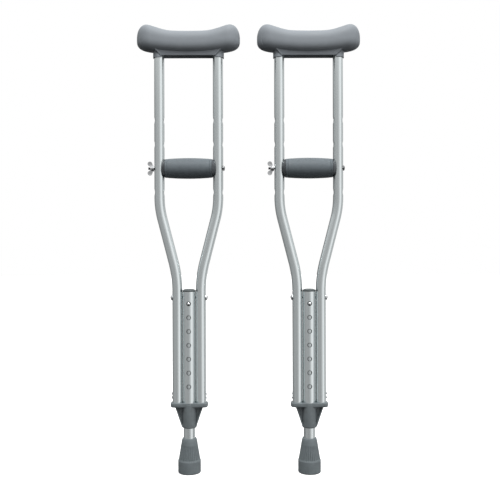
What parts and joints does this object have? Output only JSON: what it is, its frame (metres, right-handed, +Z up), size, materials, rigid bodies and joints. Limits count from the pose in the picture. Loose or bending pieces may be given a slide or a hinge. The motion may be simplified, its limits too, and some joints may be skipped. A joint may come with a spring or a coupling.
{
  "type": "pair of underarm crutches",
  "caption": "Pair of height-adjustable aluminium underarm crutches with padded tops, bolted hand grips, telescoping legs and rubber foot tips.",
  "frame": {"origin": "on the floor midway between the two crutches, under the middle of the pair", "axes": "+Z up along the crutches, +X from the left crutch to the right one, snap buttons face -Y"},
  "size_m": [0.4872, 0.05, 0.9761],
  "materials": {
    "tube_aluminium": "satin anodised drawn tube",
    "pad_rubber": "matt moulded rubber, blue-grey",
    "grip_rubber": "matt ribbed rubber, slate grey",
    "saddle_plastic": "semi-matt moulded",
    "yoke_plastic": "semi-matt moulded, grey",
    "foot_rubber": "matt moulded rubber, fluted neck",
    "bright_steel": "bright zinc plated",
    "dark_steel": "dark plated",
    "spring_steel": "plain spring steel"
  },
  "bodies": {
    "left_frame": {"left_underarm_pad": "pad_rubber", "left_armpiece": "yoke_plastic", "left_armpiece_pin_nut_side": "bright_steel", "left_armpiece_pin_head_side": "bright_steel", "left_bow_nut_side": "tube_aluminium", "left_bow_head_side": "tube_aluminium", "left_centre_tube": "tube_aluminium", "left_centre_tube_cap": "yoke_plastic", "left_upper_rivet": "bright_steel", "left_yoke": "yoke_plastic", "left_yoke_rivet_1": "bright_steel", "left_yoke_rivet_2": "bright_steel", "left_yoke_rivet_3": "bright_steel", "left_yoke_rivet_4": "bright_steel", "left_grip_cushion": "grip_rubber", "left_grip_core": "saddle_plastic", "left_grip_saddle_nut_side": "saddle_plastic", "left_grip_saddle_head_side": "saddle_plastic", "left_grip_bolt": "dark_steel"},
    "left_leg": {"left_leg_tube": "tube_aluminium", "left_foot_tip": "foot_rubber", "left_tip_washer": "spring_steel", "left_button_spring": "spring_steel"},
    "left_button": {"left_snap_button": "bright_steel"},
    "left_nut_washer": {"left_nut_washer": "bright_steel"},
    "left_wing_nut": {"left_wing_nut": "bright_steel"},
    "right_frame": {"right_underarm_pad": "pad_rubber", "right_armpiece": "yoke_plastic", "right_armpiece_pin_nut_side": "bright_steel", "right_armpiece_pin_head_side": "bright_steel", "right_bow_nut_side": "tube_aluminium", "right_bow_head_side": "tube_aluminium", "right_centre_tube": "tube_aluminium", "right_centre_tube_cap": "yoke_plastic", "right_upper_rivet": "bright_steel", "right_yoke": "yoke_plastic", "right_yoke_rivet_1": "bright_steel", "right_yoke_rivet_2": "bright_steel", "right_yoke_rivet_3": "bright_steel", "right_yoke_rivet_4": "bright_steel", "right_grip_cushion": "grip_rubber", "right_grip_core": "saddle_plastic", "right_grip_saddle_nut_side": "saddle_plastic", "right_grip_saddle_head_side": "saddle_plastic", "right_grip_bolt": "dark_steel"},
    "right_leg": {"right_leg_tube": "tube_aluminium", "right_foot_tip": "foot_rubber", "right_tip_washer": "spring_steel", "right_button_spring": "spring_steel"},
    "right_button": {"right_snap_button": "bright_steel"},
    "right_nut_washer": {"right_nut_washer": "bright_steel"},
    "right_wing_nut": {"right_wing_nut": "bright_steel"}
  },
  "joints": [
    {"name": "crutch_spacing", "type": "slide", "parent": "left_frame", "child": "right_frame", "axis": [1, 0, 0], "range_m": [-0.03, 0.12]},
    {"name": "left_leg_slide", "type": "slide", "parent": "left_frame", "child": "left_leg", "axis": [0, 0, -1], "range_m": [0, 0.18]},
    {"name": "left_button_press", "type": "slide", "parent": "left_leg", "child": "left_button", "axis": [0, 1, 0], "range_m": [0, 0.0044], "stiffness_N_per_m": 2500, "springref_m": -0.001, "deforming": ["left_button_spring"]},
    {"name": "left_nut_turn", "type": "hinge", "parent": "left_nut_washer", "child": "left_wing_nut", "pos_m": [-0.2081, 0, 0.6636], "axis": [-1, 0, 0], "range_deg": [0, 1440]},
    {"name": "left_washer_slide", "type": "slide", "parent": "left_frame", "child": "left_nut_washer", "axis": [-1, 0, 0], "range_m": [0, 0.004]},
    {"name": "right_leg_slide", "type": "slide", "parent": "right_frame", "child": "right_leg", "axis": [0, 0, -1], "range_m": [0, 0.18]},
    {"name": "right_button_press", "type": "slide", "parent": "right_leg", "child": "right_button", "axis": [0, 1, 0], "range_m": [0, 0.0044], "stiffness_N_per_m": 2500, "springref_m": -0.001, "deforming": ["right_button_spring"]},
    {"name": "right_nut_turn", "type": "hinge", "parent": "right_nut_washer", "child": "right_wing_nut", "pos_m": [0.0541, 0, 0.6636], "axis": [-1, 0, 0], "range_deg": [0, 1440]},
    {"name": "right_washer_slide", "type": "slide", "parent": "right_frame", "child": "right_nut_washer", "axis": [-1, 0, 0], "range_m": [0, 0.004]}
  ],
  "couplings": [
    {"joint": "left_nut_turn", "follows": "left_washer_slide", "rad_per_m": 6283.2},
    {"joint": "right_nut_turn", "follows": "right_washer_slide", "rad_per_m": 6283.2}
  ]
}
